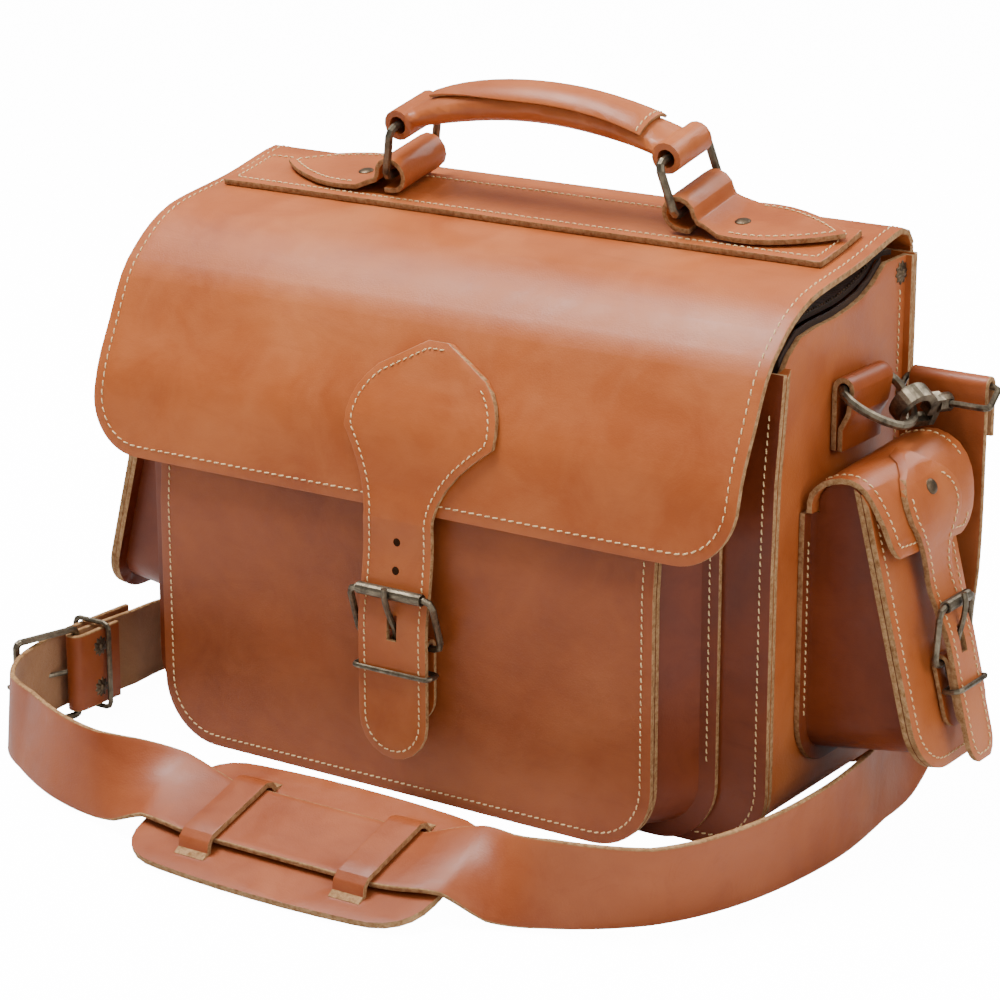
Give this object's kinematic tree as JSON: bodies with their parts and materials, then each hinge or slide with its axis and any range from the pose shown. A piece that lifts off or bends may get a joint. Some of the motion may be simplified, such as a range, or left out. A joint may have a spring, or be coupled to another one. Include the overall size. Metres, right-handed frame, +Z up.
{
  "type": "camera bag",
  "caption": "Leather camera bag with buckled front flap, zipped inner lid, front and side pockets, ring-mounted handle and a clip-on shoulder strap with a pad.",
  "frame": {"origin": "on the ground under the middle of the bag, measured without the shoulder strap", "axes": "+X to the right of the bag seen from its front, +Y to its back, +Z up"},
  "size_m": [0.4842, 0.2907, 0.314],
  "materials": {
    "leather": "semi-matt grained orange-tan leather with lighter raw edges",
    "strap_leather": "semi-matt tan leather, a little lighter",
    "antique_brass": "dark antique, brighter where rubbed",
    "cloth": "woven, matt"
  },
  "bodies": {
    "bag": {"back_panel": "leather", "front_panel": "leather", "main_gusset": "leather", "pocket_panel": "leather", "pocket_gusset": "leather", "zip_tape": "cloth", "insert_tray": "cloth", "insert_divider": "cloth", "flap_sewn_edge": "leather", "side_gusset_right": "leather", "side_panel_right": "leather", "ring_chape_right": "leather", "hook_body_right": "antique_brass", "hook_loop_right": "antique_brass", "side_gusset_left": "leather", "side_panel_left": "leather", "ring_chape_left": "leather", "hook_body_left": "antique_brass", "hook_loop_left": "antique_brass", "strap_long": "strap_leather", "strap_short": "strap_leather", "strap_pad": "strap_leather", "strap_buckle_frame": "antique_brass", "strap_keeper": "antique_brass"},
    "flap": {"flap": "leather", "handle_plate": "leather", "handle_tab_right": "leather", "handle_tab_left": "leather", "front_strap": "leather", "front_tab": "leather", "front_buckle_frame": "antique_brass", "front_keeper": "antique_brass"},
    "front_roller": {"front_buckle_roller": "antique_brass"},
    "front_prong": {"front_buckle_prong": "antique_brass"},
    "lid": {"zip_lid": "cloth"},
    "slider": {"zip_slider": "antique_brass"},
    "ring_left": {"handle_ring_left": "antique_brass"},
    "ring_right": {"handle_ring_right": "antique_brass"},
    "handle": {"handle_grip": "leather", "handle_strip": "leather"},
    "side_flap_right": {"side_flap_right": "leather", "side_strap_right": "leather", "side_tab_right": "leather", "side_buckle_frame_right": "antique_brass", "side_keeper_right": "antique_brass"},
    "side_roller_right": {"side_buckle_roller_right": "antique_brass"},
    "side_prong_right": {"side_buckle_prong_right": "antique_brass"},
    "d_ring_right": {"strap_ring_d_right": "antique_brass"},
    "gate_right": {"hook_gate_right": "antique_brass"},
    "side_flap_left": {"side_flap_left": "leather", "side_strap_left": "leather", "side_tab_left": "leather", "side_buckle_frame_left": "antique_brass", "side_keeper_left": "antique_brass"},
    "side_roller_left": {"side_buckle_roller_left": "antique_brass"},
    "side_prong_left": {"side_buckle_prong_left": "antique_brass"},
    "d_ring_left": {"strap_ring_d_left": "antique_brass"},
    "gate_left": {"hook_gate_left": "antique_brass"},
    "strap_prong": {"strap_buckle_prong": "antique_brass"}
  },
  "joints": [
    {"name": "flap_hinge", "type": "hinge", "parent": "bag", "child": "flap", "pos_m": [0, 0.0855, 0.25], "axis": [-1, 0, 0], "range_deg": [0, 150]},
    {"name": "lid_hinge", "type": "hinge", "parent": "bag", "child": "lid", "pos_m": [0, 0.079, 0.246], "axis": [-1, 0, 0], "range_deg": [0, 83]},
    {"name": "zip_slide", "type": "slide", "parent": "bag", "child": "slider", "axis": [1, 0, 0], "range_m": [-0.282, 0]},
    {"name": "front_roller_spin", "type": "hinge", "parent": "flap", "child": "front_roller", "pos_m": [-0.002, -0.0819, 0.101], "axis": [1, 0, 0], "continuous": true},
    {"name": "front_prong_hinge", "type": "hinge", "parent": "flap", "child": "front_prong", "pos_m": [-0.002, -0.0738, 0.076], "axis": [1, 0, 0], "range_deg": [0, 9]},
    {"name": "ring_left_hinge", "type": "hinge", "parent": "flap", "child": "ring_left", "pos_m": [-0.0785, 0.04374, 0.26681], "axis": [0, 0.9785, 0.2062], "range_deg": [-20, 20]},
    {"name": "ring_right_hinge", "type": "hinge", "parent": "flap", "child": "ring_right", "pos_m": [0.0795, 0.04374, 0.26681], "axis": [0, 0.9785, 0.2062], "range_deg": [-20, 20]},
    {"name": "handle_hinge", "type": "hinge", "parent": "ring_left", "child": "handle", "pos_m": [-0.0725, 0.03866, 0.29088], "axis": [0, 0.9785, 0.2062], "range_deg": [-22, 22]},
    {"name": "side_flap_hinge_right", "type": "hinge", "parent": "bag", "child": "side_flap_right", "pos_m": [0.1694, 0.0215, 0.152], "axis": [0, -1, 0], "range_deg": [0, 2]},
    {"name": "side_roller_spin_right", "type": "hinge", "parent": "side_flap_right", "child": "side_roller_right", "pos_m": [0.22525, 0.0215, 0.11155], "axis": [0, 1, 0], "continuous": true},
    {"name": "side_prong_hinge_right", "type": "hinge", "parent": "side_flap_right", "child": "side_prong_right", "pos_m": [0.22362, 0.0215, 0.08532], "axis": [0, 1, 0], "range_deg": [0, 8]},
    {"name": "d_ring_hinge_right", "type": "hinge", "parent": "bag", "child": "d_ring_right", "pos_m": [0.1721, 0.03, 0.2], "axis": [0, -1, 0], "range_deg": [0, 9]},
    {"name": "hook_gate_hinge_right", "type": "hinge", "parent": "bag", "child": "gate_right", "pos_m": [0.18969, 0.05539, 0.1801], "axis": [-0.8095, 0.3391, 0.4793], "range_deg": [0, 10], "stiffness_Nm_per_rad": 0.02},
    {"name": "side_flap_hinge_left", "type": "hinge", "parent": "bag", "child": "side_flap_left", "pos_m": [-0.1694, 0.0215, 0.152], "axis": [0, 1, 0], "range_deg": [0, 2]},
    {"name": "side_roller_spin_left", "type": "hinge", "parent": "side_flap_left", "child": "side_roller_left", "pos_m": [-0.22525, 0.0215, 0.11155], "axis": [0, 1, 0], "continuous": true},
    {"name": "side_prong_hinge_left", "type": "hinge", "parent": "side_flap_left", "child": "side_prong_left", "pos_m": [-0.22362, 0.0215, 0.08532], "axis": [0, -1, 0], "range_deg": [0, 8]},
    {"name": "d_ring_hinge_left", "type": "hinge", "parent": "bag", "child": "d_ring_left", "pos_m": [-0.1721, 0.03, 0.2], "axis": [0, 1, 0], "range_deg": [0, 9]},
    {"name": "hook_gate_hinge_left", "type": "hinge", "parent": "bag", "child": "gate_left", "pos_m": [-0.18969, 0.05539, 0.1801], "axis": [-0.8095, -0.3391, -0.4793], "range_deg": [0, 10], "stiffness_Nm_per_rad": 0.02},
    {"name": "strap_prong_hinge", "type": "hinge", "parent": "bag", "child": "strap_prong", "pos_m": [-0.1934, -0.0765, 0.024], "axis": [0, 0, -1], "range_deg": [0, 10]}
  ],
  "couplings": [
    {"joint": "lid_hinge", "follows": "flap_hinge", "ratio": 0.55},
    {"joint": "ring_right_hinge", "follows": "ring_left_hinge", "ratio": 1},
    {"joint": "handle_hinge", "follows": "ring_left_hinge", "ratio": -1.08}
  ]
}
